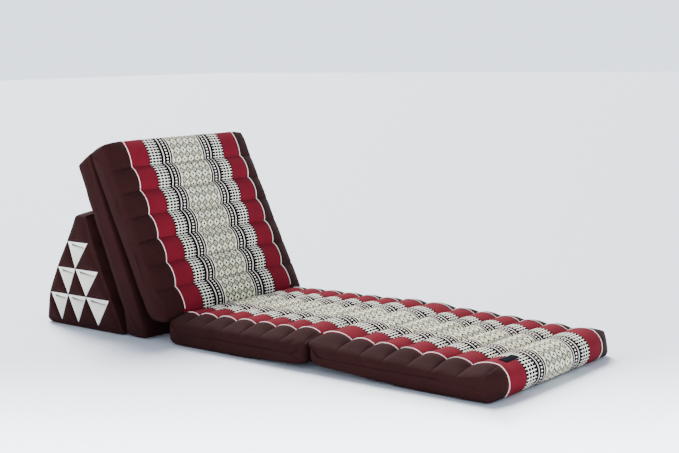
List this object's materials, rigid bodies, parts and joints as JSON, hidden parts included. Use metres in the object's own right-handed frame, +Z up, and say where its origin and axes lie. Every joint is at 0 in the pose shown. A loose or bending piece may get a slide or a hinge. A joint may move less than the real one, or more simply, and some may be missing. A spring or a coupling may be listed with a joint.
{
  "type": "fold-out triangle cushion",
  "caption": "Fold-out triangle cushion: a wedge holds up folded ribbed panels as a backrest, and more panels lie flat as seat and leg rest, in banded cotton with piping.",
  "frame": {"origin": "on the floor, under the middle of the whole cushion's box", "axes": "+X from the wedge towards the foot end, +Z up, and the side with the label at -Y"},
  "size_m": [1.4764, 0.542, 0.5103],
  "materials": {
    "case_cotton": "matt",
    "piping_cotton": "matt",
    "pocket_cotton": "matt",
    "label_tape": "satin"
  },
  "bodies": {
    "root": {"wedge": "case_cotton", "inner_panel": "case_cotton", "backrest": "case_cotton", "seat": "case_cotton", "leg_rest": "case_cotton", "piping_wedge_front_near": "piping_cotton", "piping_wedge_front_far": "piping_cotton", "piping_wedge_rear_near": "piping_cotton", "piping_wedge_rear_far": "piping_cotton", "piping_inner_panel_near": "piping_cotton", "piping_inner_panel_far": "piping_cotton", "piping_backrest_near": "piping_cotton", "piping_backrest_far": "piping_cotton", "piping_seat_near": "piping_cotton", "piping_seat_far": "piping_cotton", "piping_leg_rest_near": "piping_cotton", "piping_leg_rest_far": "piping_cotton", "pocket_near_1": "pocket_cotton", "pocket_near_2": "pocket_cotton", "pocket_near_3": "pocket_cotton", "pocket_near_4": "pocket_cotton", "pocket_near_5": "pocket_cotton", "pocket_near_6": "pocket_cotton", "pocket_far_1": "pocket_cotton", "pocket_far_2": "pocket_cotton", "pocket_far_3": "pocket_cotton", "pocket_far_4": "pocket_cotton", "pocket_far_5": "pocket_cotton", "pocket_far_6": "pocket_cotton", "label": "label_tape"}
  },
  "joints": []
}
